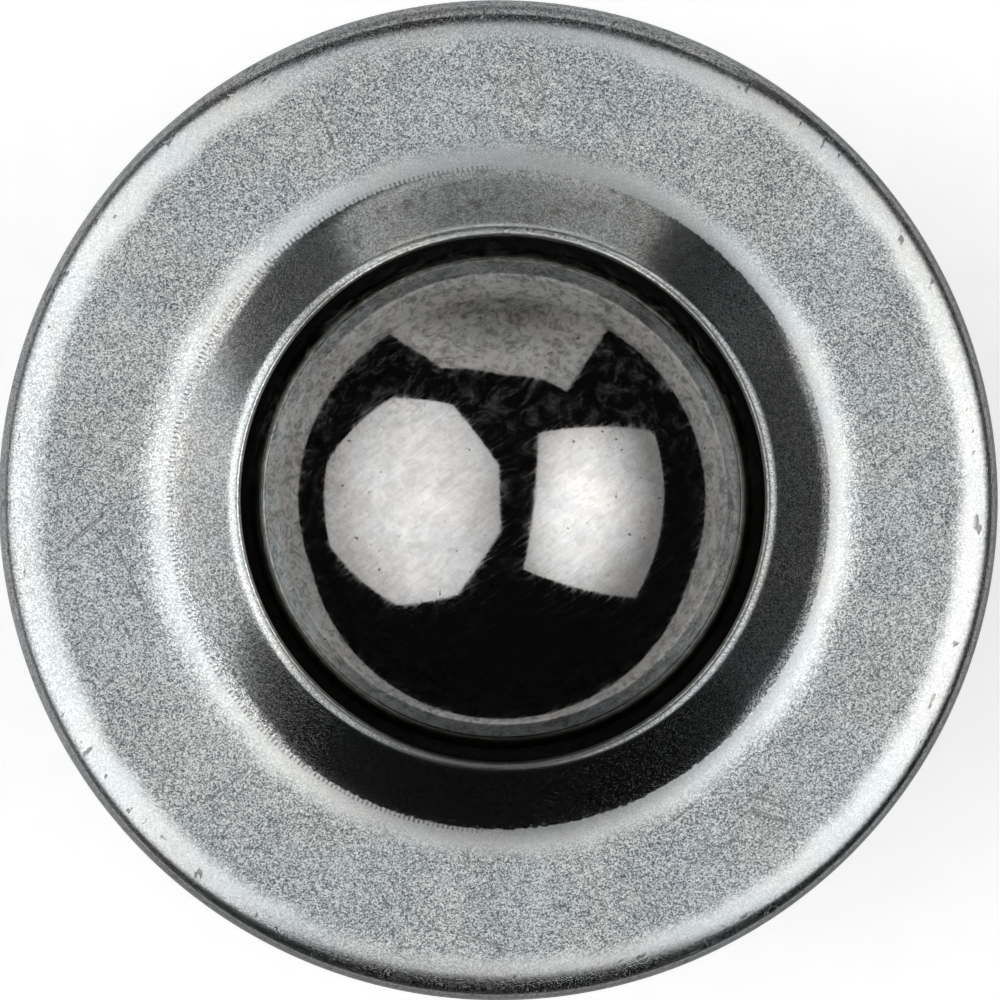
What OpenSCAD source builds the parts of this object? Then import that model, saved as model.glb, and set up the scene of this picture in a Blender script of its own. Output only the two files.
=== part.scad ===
// Ball transfer unit, flange type, for dropping into a round hole in a conveyor table.
// A load ball turns on a bed of small balls in a hardened cup. A drawn sheet housing holds
// the cup, and a pressed cover with a raised collar is rolled over the housing's flange.
// Millimetres, +Z up. The origin is on the axis, at the underside of the housing.

/* [Balls] */
// Diameter of the load ball
ball_d = 30; // [29:0.25:31]
// How far the load ball's centre lies below the mounting face
ball_sink = 1.2; // [0.8:0.1:1.8]
// Diameter of one support ball
support_d = 4; // [3.7:0.1:4.2]
// Running clearance on each side of a support ball
track_gap = 0.05; // [0.03:0.01:0.08]
// How far the bed of support balls reaches up from the pole, in degrees
bed_angle = 86; // [84:1:88]

/* [Cup] */
// Wall of the cup under the lowest support ball
cup_t = 1.7; // [1.3:0.1:2.4]
// Wall of the cup at its mouth
cup_mouth_t = 2.15; // [1.8:0.05:2.6]
// Chamfer round the mouth of the cup
cup_chamfer = 0.3; // [0.1:0.1:0.5]

/* [Housing] */
// Sheet of the housing
housing_t = 1.2; // [1:0.1:1.4]
// Outside radius of the bottom corner
corner_r = 4.2; // [3:0.1:5]
// Radius in the corner between the spigot and the flange
seat_r = 0.8; // [0.5:0.1:1.2]

/* [Cover] */
// How far the flange stands out from the spigot
flange_w = 5; // [4.5:0.25:7]
// Sheet of the cover
cover_t = 1; // [0.8:0.1:1.2]
// Height of the collar above the flange
collar_h = 3; // [2.4:0.1:3.4]
// Slope of the collar, in degrees from flat
collar_angle = 37.5; // [34:0.5:42]
// Radius where the collar rises out of the flange
collar_bend_r = 2.2; // [1.6:0.1:2.8]
// Radius over the top of the collar
collar_rim_r = 0.75; // [0.5:0.05:0.8]
// Radius on the pierced edge of the opening
pierced_r = 0.28; // [0.16:0.04:0.4]
// Clearance between the load ball and the pierced edge
opening_gap = 0.4; // [0.3:0.05:0.6]
// Large radius where the flange starts to turn down
shoulder_r = 4; // [3:0.25:5]
// Slope at which the large radius ends, in degrees
shoulder_angle = 35; // [30:1:40]
// Inside radius of the fold between the shoulder and the upright skirt
fold_in_r = 0.2; // [0.1:0.05:0.4]
// How far the skirt's end is rolled in under the housing's flange
roll_in = 0.5; // [0.3:0.05:0.6]
// Outside radius of the rolled end
roll_r = 0.4; // [0.2:0.05:0.5]

/* [Ring and felt] */
// Thickness of the retaining ring
ring_t = 0.6; // [0.4:0.1:0.8]
// Clearance between the load ball and the retaining ring
ring_gap = 0.4; // [0.3:0.05:0.6]
// Clearance between the load ball and the felt
felt_gap = 0.1; // [0.05:0.05:0.2]
// How far the felt stays back from the opening
felt_setback = 0.3; // [0.2:0.05:0.5]

/* [Hidden] */
$fn = 96;

// Clearance round a piece that is pressed into another
press_gap = 0.05;

// Radii about the centre of the load ball: the ball, the bed's ball centres and the race.
ball_r = ball_d / 2;
bed_r = ball_r + track_gap + support_d / 2;
race_r = bed_r + support_d / 2 + track_gap;

// Heights, from the underside up.
ball_z = housing_t + cup_t + race_r;
face_z = ball_z + ball_sink;
cover_low_z = face_z + housing_t;
flange_z = cover_low_z + cover_t;
rim_z = flange_z + collar_h;
ring_z = cover_low_z - ring_t;

// Radii from the axis, from the race out. The spigot drops into a 45 mm hole.
cup_r = race_r + cup_mouth_t;
spigot_r = cup_r + press_gap + housing_t;
flange_r = spigot_r + flange_w;
skirt_in_r = flange_r - cover_t;

// The collar's sheet, in section, slopes down from its rim to a bend out of the flange.
// The ball passes closest to the lower corner of the pierced edge, which sets the opening.
normal = [sin(collar_angle), cos(collar_angle)];
pierced_low_z = rim_z - collar_rim_r
    - (cover_t - collar_rim_r) / normal.y + pierced_r * tan(collar_angle);
opening_r = section_r(ball_r, pierced_low_z) + opening_gap;
rim = [opening_r + pierced_r, rim_z - collar_rim_r];
slope_top = rim + collar_rim_r * normal;
slope_drop = slope_top.y - flange_z - collar_bend_r * (1 - normal.y);
slope_foot = slope_top + slope_drop * [1 / tan(collar_angle), -1];
bend = slope_foot + collar_bend_r * normal;

// The shoulder is a large arc and then a small one, down to the upright skirt.
edge_r = fold_in_r + cover_t;
step_r = shoulder_r - edge_r;
shoulder = [flange_r - edge_r - step_r * sin(shoulder_angle), flange_z - shoulder_r];
edge = shoulder + step_r * [sin(shoulder_angle), cos(shoulder_angle)];

// The bed of support balls lies in rows round the axis, counted from one ball at the pole.
// The balls of the lowest rows, which carry a straight push down, are single nodes.
bed_rows = 7;
single_rows = 3;
row_step = bed_angle / (bed_rows - 1);

function ball_name(row, i) = str("support_ball_", row, "_", i);
function row_name(row) = str("support_row_", row);

// Radius of a sphere about the load ball's centre where it crosses height z
function section_r(r, z) = sqrt(r * r - pow(z - ball_z, 2));

// Height of the underside of the collar's slope at a radius
function slope_low_z(x) = slope_top.y - cover_t / normal.y - (x - slope_top.x) * tan(collar_angle);

// A row's angle up from the pole, its radius, and how many balls fit round it
function row_angle(row) = (row - 1) * row_step;
function row_r(row) = bed_r * sin(row_angle(row));
function row_count(row) = row == 1 ? 1
    : floor(180 / asin((support_d / 2 + track_gap / 2) / row_r(row)));

// Points along an arc in section, in short steps
function arc(centre, r, a, b) = let (n = ceil(abs(b - a) / 7.5))
    [for (i = [0:n]) let (t = a + (b - a) * i / n) centre + r * [cos(t), sin(t)]];

// The turned-down edge of the flange, from its side up to its top, moved in by a distance
function flange_edge(inset) = concat(
    arc(edge, edge_r - inset, 0, 90 - shoulder_angle),
    arc(shoulder, shoulder_r - inset, 90 - shoulder_angle, 90)
);
function reversed(points) = [for (i = [len(points) - 1:-1:0]) points[i]];

// A rectangle between two opposite corners
module block(low, high) {
    translate(low) square(high - low);
}

// The cover's sheet in section: up the pierced edge, down the outside to the rolled end,
// and back along the inside
module cover_section() {
    polygon(concat(
        [[opening_r, pierced_low_z]],
        arc([rim.x, rim_z - pierced_r], pierced_r, 180, 90),
        arc(rim, collar_rim_r, 90, 90 - collar_angle),
        arc(bend, collar_bend_r, 270 - collar_angle, 270),
        reversed(flange_edge(0)),
        arc([flange_r - roll_r, face_z + roll_r], roll_r, 0, -90),
        [[skirt_in_r - roll_in, face_z], [skirt_in_r, face_z + roll_in]],
        flange_edge(cover_t),
        arc(bend, collar_bend_r + cover_t, 270, 270 - collar_angle)
    ));
}

// The housing's sheet in section: along its outside to the flange, which fills the cover's
// edge, and back along the inside
module housing_section() {
    bottom = [spigot_r - corner_r, corner_r];
    seat = [spigot_r + seat_r, face_z - seat_r];
    polygon(concat(
        [[0, 0]],
        arc(bottom, corner_r, 270, 360),
        arc(seat, seat_r, 180, 90),
        [[skirt_in_r - roll_in, face_z], [skirt_in_r, face_z + roll_in]],
        flange_edge(cover_t),
        arc(seat, seat_r + housing_t, 90, 180),
        arc(bottom, corner_r - housing_t, 360, 270),
        [[0, housing_t]]
    ));
}

module cup_section() {
    difference() {
        union() {
            block([0, ball_z], [cup_r, ring_z]);
            intersection() {
                translate([0, ball_z]) circle(cup_r);
                block([0, housing_t], [cup_r, ball_z]);
            }
        }
        translate([0, ball_z]) circle(race_r);
        block([0, ball_z], [race_r, ring_z]);
        polygon([
            [race_r, ring_z - cup_chamfer],
            [race_r + cup_chamfer, ring_z],
            [race_r, ring_z]
        ]);
    }
}

module felt_section() {
    inner = opening_r + felt_setback;
    outer = slope_foot.x - cover_t * normal.x;
    difference() {
        polygon([
            [inner, cover_low_z],
            [outer, cover_low_z],
            [outer, slope_low_z(outer) - press_gap],
            [inner, slope_low_z(inner) - press_gap]
        ]);
        translate([0, ball_z]) circle(ball_r + felt_gap);
    }
}

// One support ball of a row, counted round from 1
module support_ball(row, i) {
    turn = (i + row / 2) * 360 / row_count(row);
    color("lightsteelblue")
        rotate(turn)
            translate([row_r(row), 0, ball_z - bed_r * cos(row_angle(row))])
                sphere(d = support_d, $fn = 32);
}

module support_row(row) {
    for (i = [1:row_count(row)]) support_ball(row, i);
}

module housing() {
    color("darkgray") rotate_extrude() housing_section();
}

module ball_cup() {
    color("slategray") rotate_extrude() cup_section();
}

module retaining_ring() {
    color("gainsboro") rotate_extrude()
        block([section_r(ball_r, ring_z) + ring_gap, ring_z], [cup_r, cover_low_z]);
}

module felt_seal() {
    color("dimgray") rotate_extrude() felt_section();
}

module cover() {
    color("silver") rotate_extrude() cover_section();
}

module load_ball() {
    color("lightgray") translate([0, 0, ball_z]) sphere(d = ball_d);
}

housing();
ball_cup();
retaining_ring();
felt_seal();
cover();
load_ball();
for (row = [1:single_rows]) for (i = [1:row_count(row)])
    support_ball(row, i);
for (row = [single_rows + 1:bed_rows])
    support_row(row);
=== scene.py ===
"""Ball transfer unit, dressed over its frame, in the order in which the unit is put together."""
import math

import bmesh
import bpy
from mathutils import Euler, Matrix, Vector


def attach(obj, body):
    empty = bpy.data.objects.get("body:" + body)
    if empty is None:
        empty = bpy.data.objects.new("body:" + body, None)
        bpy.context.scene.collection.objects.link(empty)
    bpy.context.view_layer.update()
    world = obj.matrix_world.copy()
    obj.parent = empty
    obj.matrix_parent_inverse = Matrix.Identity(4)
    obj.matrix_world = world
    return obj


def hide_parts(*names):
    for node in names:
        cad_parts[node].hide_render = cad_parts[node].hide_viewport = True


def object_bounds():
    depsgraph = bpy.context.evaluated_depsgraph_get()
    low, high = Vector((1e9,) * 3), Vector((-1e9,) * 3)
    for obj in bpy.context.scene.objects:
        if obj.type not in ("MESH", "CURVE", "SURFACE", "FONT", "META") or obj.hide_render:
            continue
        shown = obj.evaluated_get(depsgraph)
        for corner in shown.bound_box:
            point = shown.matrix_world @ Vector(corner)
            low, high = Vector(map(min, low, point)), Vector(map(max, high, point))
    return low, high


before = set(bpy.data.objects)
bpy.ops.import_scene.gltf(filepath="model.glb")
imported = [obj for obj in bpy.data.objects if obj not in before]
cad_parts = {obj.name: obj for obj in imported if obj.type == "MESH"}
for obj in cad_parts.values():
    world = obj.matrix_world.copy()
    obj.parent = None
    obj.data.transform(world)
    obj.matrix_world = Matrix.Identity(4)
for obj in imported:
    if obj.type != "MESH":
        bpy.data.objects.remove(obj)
cad_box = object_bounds()

# ---------------------------------------------------------------------------------------
# View. The camera looks almost straight down the axis from a metre away, through a long
# lens, and the round flange fills the frame.
# ---------------------------------------------------------------------------------------
MM = 0.001
view_distance = 1.0
film_width = 36.0
view_lean = Euler((math.radians(1.0), math.radians(-2.9), 0.0))
view_aim = Vector((-0.02 * MM, -0.03 * MM, 25.4 * MM))
view_half = cad_box[1].x * 0.998

camera_data = bpy.data.cameras.new("top_camera")
camera_data.sensor_width = film_width
camera_data.lens = film_width / 2 * view_distance / view_half
camera = bpy.data.objects.new("top_camera", camera_data)
bpy.context.scene.collection.objects.link(camera)
camera.rotation_euler = view_lean
camera.location = view_aim + view_lean.to_matrix() @ Vector((0.0, 0.0, view_distance))
bpy.context.scene.camera = camera
bpy.context.scene.view_settings.view_transform = "Standard"


# ---------------------------------------------------------------------------------------
# Bench. The unit stands near the front edge of a bench top, painted pale round the unit
# and grey further off as a painted pool of light, with a white board upright behind it.
# The room round them is dim, so polished steel shows dark between the two soft lamps.
# ---------------------------------------------------------------------------------------
class Finish:
    """A surface finish, or a lamp's face: its node tree, and short ways to add to it."""

    def __init__(self, name, lamp=None):
        self.material = lamp or bpy.data.materials.new(name)
        self.material.use_nodes = True
        self.tree = self.material.node_tree
        self.surface = self.tree.nodes["Emission" if lamp else "Principled BSDF"]

    def join(self, value, socket):
        """Sets a socket to a value, or links it to another node's socket."""
        if isinstance(value, bpy.types.NodeSocket):
            self.tree.links.new(value, socket)
        else:
            socket.default_value = value

    def add(self, kind, inputs=(), **settings):
        """A node with its settings, and its inputs by number or name."""
        made = self.tree.nodes.new("ShaderNode" + kind)
        for key, value in settings.items():
            setattr(made, key, value)
        for key, value in dict(inputs).items():
            self.join(value, made.inputs[key])
        return made

    def set(self, **inputs):
        """Sets the shader's own sockets, with _ for the spaces in their names."""
        for key, value in inputs.items():
            self.join(value, self.surface.inputs[key.replace("_", " ")])

    def place(self, stretch=(1, 1, 1), turn=(0, 0, 0)):
        """The place on the piece in metres, for a pattern drawn out along turned axes."""
        spot = self.add("TexCoord").outputs["Object"]
        return self.add("Mapping", {
            "Vector": spot, "Rotation": turn, "Scale": stretch,
        }, vector_type="TEXTURE").outputs[0]

    def maths(self, operation, a, b=0.0, c=0.0):
        return self.add("Math", {0: a, 1: b, 2: c}, operation=operation).outputs[0]

    def noise(self, place, size, detail=2.0, rough=0.5, distortion=0.0):
        """Even noise about 0.5, in patches about size millimetres across."""
        return self.add("TexNoise", {
            "Vector": place, "Scale": 1 / (size * MM), "Detail": detail,
            "Roughness": rough, "Distortion": distortion,
        }).outputs[0]

    def cells(self, place, size):
        """An even value from 0 to 1 for each crystal, about size millimetres across."""
        grown = self.add("TexVoronoi", {"Vector": place, "Scale": 1 / (size * MM)})
        return self.add("SeparateColor", {0: grown.outputs["Color"]}).outputs[0]

    def level(self, value, low, high, out_low=0.0, out_high=1.0):
        """The value carried smoothly from low..high to out_low..out_high."""
        return self.add("MapRange", {
            0: value, 1: low, 2: high, 3: out_low, 4: out_high,
        }, interpolation_type="SMOOTHSTEP").outputs[0]

    def zone(self, length, low, high, out_low=0.0, out_high=1.0):
        """A level of a length, with low and high in millimetres."""
        return self.level(length, low * MM, high * MM, out_low, out_high)

    def times(self, *values):
        """The product of the values."""
        product = values[0]
        for value in values[1:]:
            product = self.maths("MULTIPLY", product, value)
        return product

    def most(self, *values):
        """The largest of the values."""
        largest = values[0]
        for value in values[1:]:
            largest = self.maths("MAXIMUM", largest, value)
        return largest

    def spread(self, value, amount, base):
        """The value times an amount, on top of a base."""
        return self.maths("MULTIPLY_ADD", value, amount, base)

    def apart(self, a, b):
        """How far two values lie apart."""
        return self.maths("ABSOLUTE", self.maths("SUBTRACT", a, b))

    def spot(self):
        """The x, y and z of the place on the piece, in metres."""
        return self.add("SeparateXYZ", {0: self.place()}).outputs

    def length(self, x, y):
        """The length of a line that runs x one way and y square to it."""
        return self.maths("SQRT", self.maths("ADD", self.times(x, x), self.times(y, y)))

    def blend(self, amount, a, b, how="MIX"):
        made = self.add("Mix", {0: amount}, data_type="RGBA", blend_type=how)
        self.join(a, made.inputs[6])
        self.join(b, made.inputs[7])
        return made.outputs[2]

    def shade(self, colour, value):
        """The colour, made lighter or darker by a factor."""
        grey = self.add("CombineColor", {0: value, 1: value, 2: value}).outputs[0]
        return self.blend(1.0, colour, grey, "MULTIPLY")

    def bump(self, height, distance, under=None):
        """A normal for a height from 0 to 1, whose full height is distance millimetres."""
        made = self.add("Bump", {"Height": height, "Distance": distance * MM, "Strength": 1.0})
        if under is not None:
            self.join(under, made.inputs["Normal"])
        return made.outputs[0]


def board(name, corners, near, far, fade, glow=0.0):
    """
    A flat sheet of matt board through its corners, near and far in colour over a fade.
    Near the unit it can glow for camera, glossy and transmission rays, a painted glow
    which lights nothing else. It is left out of a view from its back.
    """
    f = Finish(name + "_paper")
    fibre = f.noise(f.place(), 2, detail=4)
    away = f.add("VectorMath", {0: f.place()}, operation="LENGTH").outputs["Value"]
    paper = f.blend(f.level(away, *fade), near, far)
    rays = f.add("LightPath").outputs
    seen = f.maths("ADD", rays["Is Camera Ray"], rays["Is Glossy Ray"])
    seen = f.maths("MINIMUM", f.maths("ADD", seen, rays["Is Transmission Ray"]), 1.0)
    back = f.add("NewGeometry").outputs["Backfacing"]
    f.set(
        Base_Color=f.shade(paper, f.level(fibre, 0.3, 0.7, 0.97, 1.0)), Roughness=0.95,
        Alpha=f.maths("SUBTRACT", 1.0, back), Emission_Color=(1, 1, 1, 1),
        Emission_Strength=f.times(seen, f.level(away, *fade, glow, 0.0)),
    )
    mesh = bpy.data.meshes.new(name)
    mesh.from_pydata(corners, [], [list(range(len(corners)))])
    mesh.materials.append(f.material)
    made = bpy.data.objects.new(name, mesh)
    bpy.context.scene.collection.objects.link(made)


bench_front_y, board_y, bench_half = -0.113, 0.42, 0.30
bench_z = -0.05 * MM
# The bench top is painted pale near the unit and grey further off, and glows near the unit for
# camera and glossy rays: a painted pool of light.
board("bench_top", [
    (-bench_half, bench_front_y, bench_z), (bench_half, bench_front_y, bench_z),
    (bench_half, board_y, bench_z), (-bench_half, board_y, bench_z),
], near=(0.94, 0.94, 0.94, 1), far=(0.52, 0.52, 0.51, 1), fade=(0.055, 0.11), glow=0.34)
board("back_board", [
    (-0.27, board_y, 0), (0.27, board_y, 0), (0.256, board_y, 0.39), (0.145, board_y, 0.347),
    (0.0, board_y, 0.34), (-0.19, board_y, 0.26), (-0.255, board_y, 0.08),
], near=(0.36, 0.36, 0.355, 1), far=(0.94, 0.93, 0.91, 1), fade=(0.41, 0.49))

# The room beyond is dim, and pale only where the camera looks straight at it.
dim, pale = 0.008, 0.72
world = bpy.data.worlds.new("dim_room")
world.use_nodes = True
room = world.node_tree
walls = room.nodes["Background"]
walls.inputs["Color"].default_value = (0.85, 0.87, 0.9, 1)
brightness = room.nodes.new("ShaderNodeMapRange")
brightness.inputs["To Min"].default_value = dim
brightness.inputs["To Max"].default_value = pale
looked_at = room.nodes.new("ShaderNodeLightPath").outputs["Is Camera Ray"]
room.links.new(looked_at, brightness.inputs["Value"])
room.links.new(brightness.outputs["Result"], walls.inputs["Strength"])
bpy.context.scene.world = world


def soft_lamp(name, bearing, low, high, width, corner, hot, radiance, rim):
    """
    A soft lamp on one bearing, between two angles off the vertical. Its cloth is brightest
    at hot, and falls off to rim. Its corners are cut off where corner is below 2.
    """
    distance = 0.5
    narrowed, reach = 0.65, 1.25
    lit_point = Vector((0, 0, 22 * MM))
    polar, turn = math.radians((low + high) / 2), math.radians(bearing)
    lamp = bpy.data.lights.new(name, "AREA")
    lamp.shape = "RECTANGLE"
    lamp.size = width * distance
    lamp.size_y = 2 * math.tan(math.radians((high - low) / 2)) * distance
    lamp.energy = radiance * math.pi * lamp.size * lamp.size_y

    # Places on the cloth run from -1 to 1 across and along it.
    cloth = Finish(name, lamp)
    spot = cloth.add("SeparateXYZ", {0: cloth.add("NewGeometry").outputs["Parametric"]})
    across, along = [cloth.spread(spot.outputs[i], 2.0, -1.0) for i in (0, 1)]
    inside = cloth.maths("ADD", cloth.maths("ABSOLUTE", across), cloth.maths("ABSOLUTE", along))
    inside = cloth.maths("LESS_THAN", inside, corner)
    along = cloth.maths("SUBTRACT", along, hot)
    across = cloth.times(across, narrowed)
    glow = cloth.level(cloth.length(across, along), 0.0, reach, 1.0, rim)
    cloth.set(Strength=cloth.times(inside, glow))

    made = bpy.data.objects.new(name, lamp)
    bpy.context.scene.collection.objects.link(made)
    outward = Vector((
        math.sin(polar) * math.cos(turn), math.sin(polar) * math.sin(turn), math.cos(polar)
    ))
    made.location = lit_point + outward * distance
    made.rotation_mode = "QUATERNION"
    made.rotation_quaternion = outward.to_track_quat("Z", "Y")
    made.visible_camera = False


soft_lamp(
    "left_lamp", bearing=181.5, low=1.8, high=80.4, width=1.72, corner=1.37,
    hot=0.1, radiance=2.1, rim=0.34)
soft_lamp(
    "right_lamp", bearing=-6, low=12.5, high=71.0, width=1.24, corner=2.1,
    hot=0.3, radiance=2.62, rim=0.17)


# ---------------------------------------------------------------------------------------
# Housing. A cup of 1.2 mm mild steel sheet, deep drawn in one piece, with a flange turned
# out round its mouth. It is zinc plated. The cup, the ring and the cover sit in or on it.
# ---------------------------------------------------------------------------------------
def arc(centre, radius, start, end, step=3):
    """Points of an arc in section, in millimetres and degrees."""
    count = max(1, math.ceil(abs(end - start) / step))
    angles = [math.radians(start + (end - start) * i / count) for i in range(count + 1)]
    return [(centre[0] + radius * math.cos(t), centre[1] + radius * math.sin(t)) for t in angles]


def lathe(name, body, node, outline, finish, turns=192):
    """
    A turned or drawn piece that stands in for a node and moves with a body: its outline in
    section, in millimetres, taken round Z in a number of turns.
    """
    crease = math.radians(12)
    shaper = bmesh.new()
    rings = []
    for radius, height in outline:
        around = turns if radius > 1e-6 else 1
        rings.append([shaper.verts.new((
            radius * MM * math.cos(math.tau * i / around),
            radius * MM * math.sin(math.tau * i / around),
            height * MM,
        )) for i in range(around)])
    for here, there in zip(rings, rings[1:] + rings[:1]):
        for i in range(turns):
            j = (i + 1) % turns
            corners = [here[i % len(here)], here[j % len(here)]]
            corners += [there[j % len(there)], there[i % len(there)]]
            corners = list(dict.fromkeys(corners))
            if len(corners) > 2:
                shaper.faces.new(corners)
    bmesh.ops.recalc_face_normals(shaper, faces=shaper.faces)
    mesh = bpy.data.meshes.new(name)
    shaper.to_mesh(mesh)
    shaper.free()
    mesh.shade_smooth()
    mesh.set_sharp_from_angle(angle=crease)
    mesh.materials.append(finish)
    made = bpy.data.objects.new(name, mesh)
    bpy.context.scene.collection.objects.link(made)
    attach(made, body)
    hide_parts(node)
    return made


sheet_t, cover_t = 1.2, 1.0
spigot_r = 22.5
flange_r = 27.5
face_z = 23.2
cover_low_z = face_z + sheet_t
flange_z = cover_low_z + cover_t
skirt_in_r = flange_r - cover_t
edge_r, shoulder_r, shoulder_low = 1.37, 5.55, 70
edge = (26.13, 23.778)
shoulder = (24.7004, 19.85)


def flange_edge(inset):
    """The turned-down edge of the flange from its side up to its top, moved in."""
    side = arc(edge, edge_r - inset, 0, shoulder_low)
    return side + arc(shoulder, shoulder_r - inset, shoulder_low, 90, 1)[1:]


def housing_finish():
    """Zinc over drawn sheet, streaked and scored up the wall where it slid through the die."""
    f = Finish("drawn_zinc")
    z = f.spot()[2]
    streak = f.noise(f.place((1, 1, 16)), 0.35, detail=3, rough=0.6)
    cloud = f.noise(f.place(), 6, detail=4, rough=0.6)
    cells = f.cells(f.place((1, 1, 1.6)), 0.11)
    tone = f.times(
        f.level(streak, 0.3, 0.7, 0.84, 1.06), f.level(cells, 0.0, 1.0, 0.82, 1.14),
        f.level(cloud, 0.3, 0.7, 0.93, 1.05))
    tint = f.level(f.noise(f.place(), 11, detail=3), 0.4, 0.6)
    colour = f.shade(f.blend(tint, (0.53, 0.56, 0.59, 1), (0.585, 0.58, 0.555, 1)), tone)

    # Scores up the wall, and grime with painted shade, darker and rougher, under the flange and
    # round the foot.
    scored = f.level(f.noise(f.place((1, 1, 70)), 0.2, detail=1), 0.7, 0.76)
    scored = f.times(scored, f.level(cloud, 0.42, 0.55))
    colour = f.blend(f.times(scored, 0.6), colour, (0.22, 0.22, 0.215, 1))
    grime_and_shade = f.most(f.zone(z, 20.8, 22.9), f.zone(z, 3, 0.4, 0.0, 0.5))
    grime_and_shade = f.times(grime_and_shade, f.level(cloud, 0.35, 0.65, 0.3, 0.9))
    colour = f.blend(f.times(grime_and_shade, 0.6), colour, (0.16, 0.15, 0.13, 1))
    relief = f.bump(scored, -0.01, f.bump(streak, 0.012))
    f.set(
        Base_Color=colour, Metallic=1.0, Normal=f.bump(cells, 0.004, relief),
        Roughness=f.spread(grime_and_shade, 0.15, f.level(cloud, 0.3, 0.7, 0.3, 0.4)),
    )
    return f.material


corner_r, seat_r, roll_in = 4.2, 0.8, 0.5
bottom = (spigot_r - corner_r, corner_r)
seat = (spigot_r + seat_r, face_z - seat_r)
rolled_in = [(skirt_in_r - roll_in, face_z), (skirt_in_r, face_z + roll_in)]
wall_heights = (9, 14, 19)
housing = lathe("housing_shell", "housing_unit", "housing", (
    [(0, 0), (4, 0), (8, 0), (12, 0), (16, 0)] + arc(bottom, corner_r, 270, 360)
    + [(spigot_r, z) for z in wall_heights] + arc(seat, seat_r, 180, 90, 6)
    + rolled_in + flange_edge(cover_t) + arc(seat, seat_r + sheet_t, 90, 180, 6)
    + [(spigot_r - sheet_t, z) for z in reversed(wall_heights)]
    + arc(bottom, corner_r - sheet_t, 360, 270) + [(16, sheet_t), (8, sheet_t), (0, sheet_t)]
), housing_finish())


# ---------------------------------------------------------------------------------------
# Cup. A block of bearing steel with a ground, hardened race, in which the small balls run.
# It is turned outside and dropped into the housing. Hardening left it dark.
# ---------------------------------------------------------------------------------------
def cup_finish():
    """Hardened steel: dark, with fine turning lines round the axis."""
    f = Finish("hardened_steel")
    x, y, z = f.spot()
    across = f.add("CombineXYZ", {0: f.length(x, y), 2: z}).outputs[0]
    lines = f.noise(across, 0.12, detail=3, rough=0.7)
    cloud = f.noise(f.place(), 5, detail=4)
    colour = f.blend(f.level(cloud, 0.35, 0.65), (0.2, 0.195, 0.19, 1), (0.27, 0.24, 0.2, 1))
    f.set(
        Base_Color=f.shade(colour, f.level(lines, 0.3, 0.7, 0.85, 1.1)), Metallic=1.0,
        Roughness=f.level(cloud, 0.3, 0.7, 0.28, 0.4), Normal=f.bump(lines, 0.008),
    )
    return f.material


ball_z = 22.0
race_r = 19.1
cup_r = 21.25
cup_foot_r = math.sqrt(cup_r ** 2 - (ball_z - sheet_t) ** 2)
ring_t, chamfer = 0.6, 0.3
ring_z = cover_low_z - ring_t
cup = lathe("cup_block", "housing_unit", "ball_cup", (
    arc((0, ball_z), race_r, 270, 360)[:-1] + [(race_r, ball_z), (race_r, ring_z - chamfer)]
    + [(race_r + chamfer, ring_z), (cup_r, ring_z), (cup_r, ball_z)]
    + [p for p in arc((0, ball_z), cup_r, 0, -90, 1.5)[1:] if p[1] > sheet_t]
    + [(cup_foot_r, sheet_t), (2, sheet_t), (0, sheet_t)]
), cup_finish())


# ---------------------------------------------------------------------------------------
# Support balls. 109 bearing balls of 4 mm, ground and lapped, in seven rows from the pole
# of the race up to the level of the load ball's centre. They are loose and roll with it.
# ---------------------------------------------------------------------------------------
def lapped_finish(name, colour, haze, swirl):
    """Lapped bearing steel, with fine hair scratches and a little oil haze."""
    f = Finish(name)
    hair = f.noise(f.place((1, 9, 1), (0.4, 0.3, 0.9)), swirl, detail=3, rough=0.7, distortion=0.6)
    film = f.noise(f.place(), 1.6, detail=4, distortion=0.8)
    f.set(
        Base_Color=f.shade(colour, f.level(film, 0.3, 0.7, 0.88, 1.0)), Metallic=1.0,
        Roughness=f.level(film, 0.35, 0.75, 0.03, haze), Normal=f.bump(hair, 0.0006),
    )
    return f.material


bearing_finish = lapped_finish("support_ball_steel", (0.56, 0.56, 0.57, 1), 0.12, 0.3)
for name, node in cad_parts.items():
    if name.startswith("support_"):
        node.data.materials.clear()
        node.data.materials.append(bearing_finish)


# ---------------------------------------------------------------------------------------
# Retaining ring. A flat washer of 0.6 mm bright zinc plated sheet, punched out, which lies
# on the cup under the cover and keeps the small balls and the load ball in.
# ---------------------------------------------------------------------------------------
def washer_finish():
    """Bright zinc on rolled strip, with fine rolling lines along one direction."""
    f = Finish("bright_zinc")
    rolled = f.noise(f.place((20, 1, 1)), 0.1, detail=3, rough=0.6)
    f.set(
        Base_Color=f.shade((0.62, 0.63, 0.64, 1), f.level(rolled, 0.3, 0.7, 0.9, 1.05)),
        Metallic=1.0, Roughness=0.3, Normal=f.bump(rolled, 0.004),
    )
    return f.material


ball_r = 15.0
ring_gap, burr = 0.4, 0.05
ring_in_r = math.sqrt(ball_r ** 2 - (ring_z - ball_z) ** 2) + ring_gap
ring = lathe("keeper_ring", "housing_unit", "retaining_ring", [
    (ring_in_r, ring_z), (cup_r - burr, ring_z), (cup_r, ring_z + burr),
    (cup_r, cover_low_z - burr), (cup_r - burr, cover_low_z),
    (ring_in_r + burr, cover_low_z), (ring_in_r, cover_low_z - burr),
], washer_finish())


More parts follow.
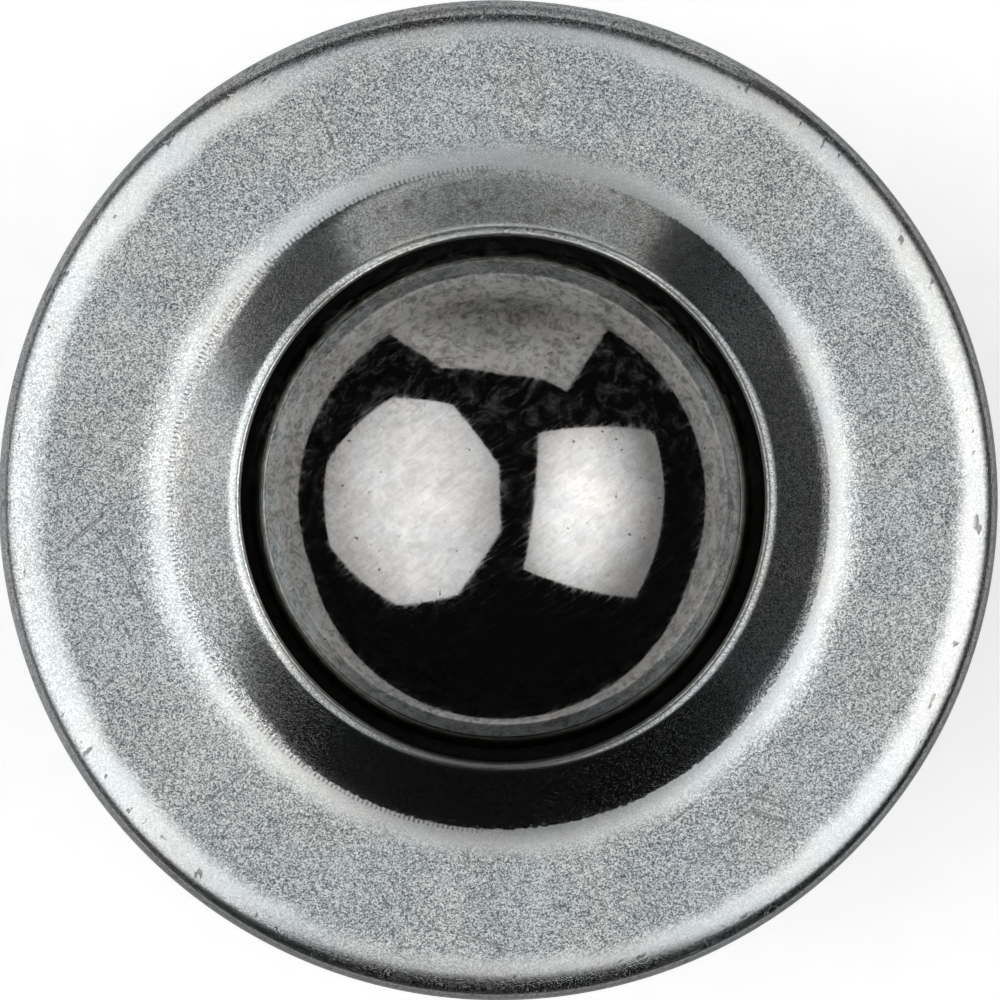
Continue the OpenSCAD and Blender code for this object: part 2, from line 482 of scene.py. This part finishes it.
# ---------------------------------------------------------------------------------------
# Felt seal. A ring of pressed wool felt, coloured almost black, held in the hollow under
# the cover's collar. It wipes dust off the load ball.
# ---------------------------------------------------------------------------------------
def felt_finish():
    """Wool felt, coloured almost black: matted fibres, lighter where they stand up."""
    f = Finish("near_black_felt")
    fibre = f.noise(f.place(), 0.25, detail=5, rough=0.7, distortion=2.0)
    clump = f.noise(f.place(), 1.5, detail=2)
    tone = f.maths(
        "ADD", f.level(fibre, 0.3, 0.7, 0.6, 1.2), f.level(clump, 0.3, 0.7, -0.15, 0.15))
    f.set(
        Base_Color=f.shade((0.035, 0.034, 0.033, 1), tone), Roughness=0.95,
        Sheen_Weight=0.2, Normal=f.bump(fibre, 0.08),
    )
    return f.material


collar_slope = math.radians(37.5)
rim_r, cut_r = 0.75, 0.28
collar_h = 3
rim_z = flange_z + collar_h
rim = (14.616, rim_z - rim_r)
slope_top = (rim[0] + rim_r * math.sin(collar_slope), rim[1] + rim_r * math.cos(collar_slope))
opening_r = rim[0] - cut_r
felt_in_r, felt_out_r = opening_r + 0.3, 17.58
felt_gap, felt_slack = 0.1, 0.05


def under_slope(x):
    """Height of the underside of the collar's slope at a radius, less a small gap."""
    drop = (x - slope_top[0]) * math.tan(collar_slope)
    return slope_top[1] - cover_t / math.cos(collar_slope) - drop - felt_slack


felt_top = [(x, under_slope(x)) for x in (felt_out_r, 17.0, 16.4, 15.8, 15.2, felt_in_r)]
felt_low = [
    p for p in arc((0, ball_z), ball_r + felt_gap, 25, 5, 1)
    if cover_low_z < p[1] < under_slope(felt_in_r) and p[0] > felt_in_r
]
felt_foot_r = math.sqrt((ball_r + felt_gap) ** 2 - (cover_low_z - ball_z) ** 2)
felt = lathe("felt_ring", "housing_unit", "felt_seal", (
    [(felt_foot_r, cover_low_z), (16.4, cover_low_z), (felt_out_r, cover_low_z)]
    + felt_top + felt_low
), felt_finish())


# ---------------------------------------------------------------------------------------
# Cover. Pressed from 1 mm mild steel sheet: an opening is pierced for the ball, a collar
# raised round it, and the outer edge rolled over the housing's flange. It is zinc plated:
# matt and grainy on the flat, smoother where the tool slid, on the collar and the edge.
# ---------------------------------------------------------------------------------------
def hair_lines(f, turn, patch_size):
    """Scratches one way: thin bands of a drawn-out noise, in patches of a size."""
    drawn = f.noise(f.place((1, 30, 1), (0, 0, turn)), 0.5, detail=1)
    thin = f.level(f.apart(drawn, 0.66), 0.016, 0.005)
    patch = f.noise(f.place((1, 1, 1), (0, 0, turn)), patch_size, detail=1)
    return f.times(thin, f.level(patch, 0.54, 0.62))


def cover_finish():
    """Passivated zinc, with the press tool's witness ring, stains, nicks and hair lines."""
    f = Finish("pressed_zinc")
    x, y, z = f.spot()
    radius = f.length(x, y)
    off_middle = f.maths("ABSOLUTE", y)

    # Where the tool slid: the bend and the shoulder are rubbed, the collar and the turned
    # edge are burnished. The rest is matt.
    fray = f.times(f.noise(f.place(), 0.25, detail=3), 0.3 * MM)
    wander = f.spread(f.noise(f.place(), 3, detail=3), 1.2 * MM, -0.6 * MM)
    wavy = f.maths("ADD", radius, wander)
    frayed = f.maths("ADD", radius, fray)
    rim_top = f.zone(frayed, 15.4, 15.1)
    collar = f.times(f.zone(frayed, 18.19, 18.33, 1.0, 0.0), f.spread(rim_top, -0.2, 1.0))
    further = f.zone(off_middle, 19, 25.5, 0.0, 0.5 * MM)
    turned = f.zone(f.maths("ADD", frayed, further), 26.65, 27.2)
    turned = f.times(turned, f.zone(x, -10, -24, 1.0, 0.75), f.zone(y, -18, -25, 1.0, 0.8))
    burnished = f.most(collar, turned)
    rubbed = f.most(f.zone(wavy, 20.0, 18.7), f.zone(wavy, 24.8, 25.8))

    # Crystals of the plating: dark bluish pits between bright grains, and clouds in it.
    # The pits are painted lighter on the right, and in a band in front of the ball and behind it:
    # painted highlight.
    cells = f.cells(f.place(), 0.065)
    speck = f.noise(f.place(), 0.3, detail=3, rough=0.7)
    cloud = f.noise(f.place(), 4, detail=5, rough=0.6)
    mixed = f.spread(f.maths("SUBTRACT", speck, 0.5), 0.5, cells)
    mixed = f.maths("ADD", mixed, f.level(cloud, 0.3, 0.7, -0.06, 0.06))
    # Painted highlight: where the bend and shoulder are lit brightest, their pits are painted
    # lighter.
    pressed = f.maths("MINIMUM", f.zone(off_middle, 4, 16), f.zone(off_middle, 24.5, 21))
    pressed = f.most(f.zone(x, -10, 14), pressed)
    pits_painted_lit = f.blend(pressed, (0.4, 0.415, 0.43, 1), (0.68, 0.69, 0.7, 1))
    # On the collar the pits are painted darker at the front and lighter at the back: painted shade.
    collar_pits_painted_shade = f.blend(f.zone(y, -10, 12), (0.07, 0.075, 0.08, 1), (0.27, 0.275, 0.28, 1))
    pits = f.blend(rubbed, (0.09, 0.11, 0.135, 1), pits_painted_lit)
    pits = f.blend(turned, pits, (0.13, 0.14, 0.15, 1))
    pits = f.blend(collar, pits, collar_pits_painted_shade)
    pits = f.blend(rim_top, pits, (0.42, 0.43, 0.43, 1))
    grains = f.blend(rubbed, (0.83, 0.84, 0.83, 1), (0.9, 0.905, 0.9, 1))
    grains = f.blend(burnished, grains, (0.74, 0.745, 0.74, 1))
    colour = f.blend(f.level(mixed, -0.1, 1.1), pits, grains)
    tint = f.level(f.noise(f.place(), 7, detail=3), 0.35, 0.65)
    tint = f.blend(tint, (0.94, 0.98, 1, 1), (0.98, 0.985, 0.96, 1))
    colour = f.blend(1.0, colour, tint, "MULTIPLY")

    # The rim of the opening is painted darker, lighter at the left and lightest at the back:
    # painted light.
    rim_painted_light = f.most(f.zone(x, -10.5, -14, 0.42, 0.9), f.zone(y, 10.5, 14, 0.42, 1.4))
    colour = f.shade(colour, f.spread(f.maths("SUBTRACT", rim_painted_light, 1.0), rim_top, 1.0))

    # Brown stain at the back of the collar, and on the cut edge of the opening.
    stain = f.noise(f.place(), 1.1, detail=5, rough=0.7)
    behind = f.times(f.zone(y, 9, 16), collar)
    stained = f.times(f.level(stain, 0.5, 0.68, 0.0, 0.5), behind)
    cut = f.zone(frayed, 14.72, 14.58, 0.0, 0.7)
    colour = f.blend(f.most(stained, cut), colour, (0.085, 0.075, 0.05, 1))

    # Witness ring: short ticks round the foot of the collar, where the sheet was gripped.
    bearing = f.maths("ARCTAN2", y, x)
    tick = f.apart(f.maths("FRACT", f.times(bearing, 67.0)), 0.5)
    rail = f.apart(radius, 18.2 * MM)
    gripped = f.maths("ADD", f.zone(x, 3, -6), f.level(cloud, 0.4, 0.6, -0.4, 0.2))
    ladder = f.times(
        f.level(tick, 0.26, 0.36), f.zone(rail, 0.18, 0.11), f.level(gripped, 0.0, 0.8),
        f.level(speck, 0.4, 0.55, 0.3, 1.0))
    colour = f.blend(f.times(ladder, 0.75), colour, (0.07, 0.07, 0.07, 1))

    # Hair lines, on the matt parts only.
    hairs = f.most(hair_lines(f, 0.5, 7), hair_lines(f, -0.9, 9), hair_lines(f, 1.3, 11))
    hairs = f.times(hairs, f.maths("SUBTRACT", 1.0, f.most(collar, rubbed)))
    colour = f.blend(f.times(hairs, 0.65), colour, (0.16, 0.16, 0.155, 1))

    # Nicks knocked into the outer edge. Below its turn the edge is rougher and less metallic, and
    # painted darker, more at the front and the right: painted shade.
    chip = f.noise(f.place((1, 3, 1), (0, 0, -0.5)), 0.5, detail=2, rough=0.6)
    knocked = f.times(f.level(chip, 0.65, 0.68), f.zone(radius, 26.0, 26.3))
    colour = f.blend(f.times(knocked, 0.75), colour, (0.14, 0.14, 0.135, 1))
    dull_shaded_band = f.times(f.zone(z, 24.75, 24.4), f.zone(z, 23.4, 23.9), f.zone(radius, 26.8, 27.2))
    edge_painted_shade = f.zone(f.maths("SUBTRACT", x, y), -20, 5, 0.35, 0.65)
    colour = f.blend(f.times(dull_shaded_band, edge_painted_shade), colour, (0.1, 0.105, 0.11, 1))

    # Burnished metal is smoother, and the relief of the crystals is worn down there.
    rough = f.spread(burnished, -0.28, f.level(mixed, 0.0, 1.0, 0.5, 0.43))
    rough = f.spread(dull_shaded_band, 0.42, f.spread(rubbed, -0.02, rough))
    dents = f.bump(f.most(knocked, f.times(hairs, 0.2)), -0.015)
    worn = f.times(burnished, f.zone(y, -2, -12, 0.1, 0.8))
    relief = f.spread(rubbed, -0.4, f.spread(rim_top, -0.45, 1.0))
    relief = f.times(relief, f.maths("SUBTRACT", 1.0, worn))
    f.set(
        Base_Color=colour, Metallic=f.spread(dull_shaded_band, -0.3, 1.0), Roughness=rough,
        Normal=f.bump(f.times(mixed, relief), 0.018, dents),
    )
    return f.material


# Outside, the collar runs down from its rim in a long hollow curve, and then in a shorter
# one into the flat. Under it, the sheet turns into the slope round one bend.
rim_low, foot_high = 51, 54
hollow_r, foot_r, bend_r = 57.73, 5.2, 2.2
hollow = (51.419, 73.098)
foot = (20.5423, flange_z + foot_r)
bend = (19.53, flange_z + bend_r)
cut_low_z, roll_r = 27.55, 0.4
cover = lathe("cover_pressing", "housing_unit", "cover", (
    [(opening_r, cut_low_z)]
    + arc((rim[0], rim_z - cut_r), cut_r, 180, 90, 10)
    + arc(rim, rim_r, 90, rim_low)
    + arc(hollow, hollow_r, 180 + rim_low, 180 + foot_high, 0.5)[1:-1]
    + arc(foot, foot_r, 180 + foot_high, 270, 2)
    + [(21.5, flange_z), (22.5, flange_z), (24, flange_z)]
    + flange_edge(0)[::-1]
    + arc((flange_r - roll_r, face_z + roll_r), roll_r, 0, -90, 10)
    + rolled_in
    + flange_edge(cover_t)
    + [(24, cover_low_z), (22, cover_low_z)]
    + arc(bend, bend_r + cover_t, 270, 270 - math.degrees(collar_slope), 2)
), cover_finish(), turns=320)


# ---------------------------------------------------------------------------------------
# Load ball. A 30 mm bearing ball, hardened, ground and polished. Handling has left a film
# of oil on it, smeared about, with hair scratches and a few brown specks near the top.
# ---------------------------------------------------------------------------------------
def ball_finish():
    """Polished steel under a smeared film, with swirls of fine scratches."""
    f = Finish("load_ball_steel")
    x, y = f.spot()[:2]
    unwiped = f.most(f.zone(f.length(x, y), 9, 11), f.zone(y, 3, 8))
    smear = f.place((1, 1.5, 1), (0, 0, -0.9))
    smear = f.noise(smear, 1.2, detail=5, rough=0.62, distortion=1.4)
    hair = f.place((1, 22, 4), (0, 0, -0.95))
    hair = f.noise(hair, 0.13, detail=3, rough=0.7, distortion=0.3)
    film = f.noise(f.place(), 4, detail=4, distortion=0.6)
    blotch = f.noise(f.place(), 1.3, detail=6, rough=0.78, distortion=0.7)
    flake = f.noise(f.place(), 0.6, detail=5, rough=0.6, distortion=1.6)
    blotch = f.spread(flake, 0.5, f.times(blotch, 0.5))
    patches = f.maths("SUBTRACT", f.level(blotch, 0.4, 0.56), 0.6)
    patches = f.spread(patches, f.spread(unwiped, 0.5, 0.14), 1.0)
    tone = f.times(
        f.level(smear, 0.32, 0.68, 0.86, 1.04), f.level(film, 0.3, 0.7, 0.93, 1.04),
        f.level(hair, 0.35, 0.7, 0.92, 1.05), patches)
    warm = f.level(f.noise(f.place(), 2.5, detail=3), 0.4, 0.6)
    colour = f.shade(f.blend(warm, (0.392, 0.394, 0.39, 1), (0.402, 0.39, 0.378, 1)), tone)

    # Brown drops at the back, and specks all over.
    drop = f.level(f.noise(f.place(), 1.0, detail=3), 0.62, 0.72)
    drop = f.times(drop, f.zone(y, 4, 11))
    colour = f.blend(f.times(drop, 0.6), colour, (0.13, 0.1, 0.075, 1))
    speck = f.level(f.noise(f.place(), 0.4, detail=2), 0.7, 0.75)
    colour = f.blend(f.times(speck, 0.8), colour, (0.05, 0.04, 0.03, 1))

    # Dried oil at the back of the ball, which scatters a little light of its own.
    dried = f.times(f.level(smear, 0.45, 0.7), f.level(blotch, 0.35, 0.65))
    dried = f.times(dried, f.zone(y, -2, 8, 0.0, 0.13))
    haze = f.maths("ADD", f.level(smear, 0.4, 0.75, 0.03, 0.1), f.level(hair, 0.45, 0.7, 0.0, 0.06))
    f.set(
        Base_Color=colour, Metallic=f.maths("SUBTRACT", 1.0, dried), Roughness=haze,
        Normal=f.bump(smear, 0.002, f.bump(hair, 0.0004)),
    )
    return f.material


ball = lathe("polished_ball", "ball", "load_ball", (
    [(0, ball_z - ball_r)] + arc((0, ball_z), ball_r, -90, 90, 1.5)[1:-1] + [(0, ball_z + ball_r)]
), ball_finish(), turns=256)
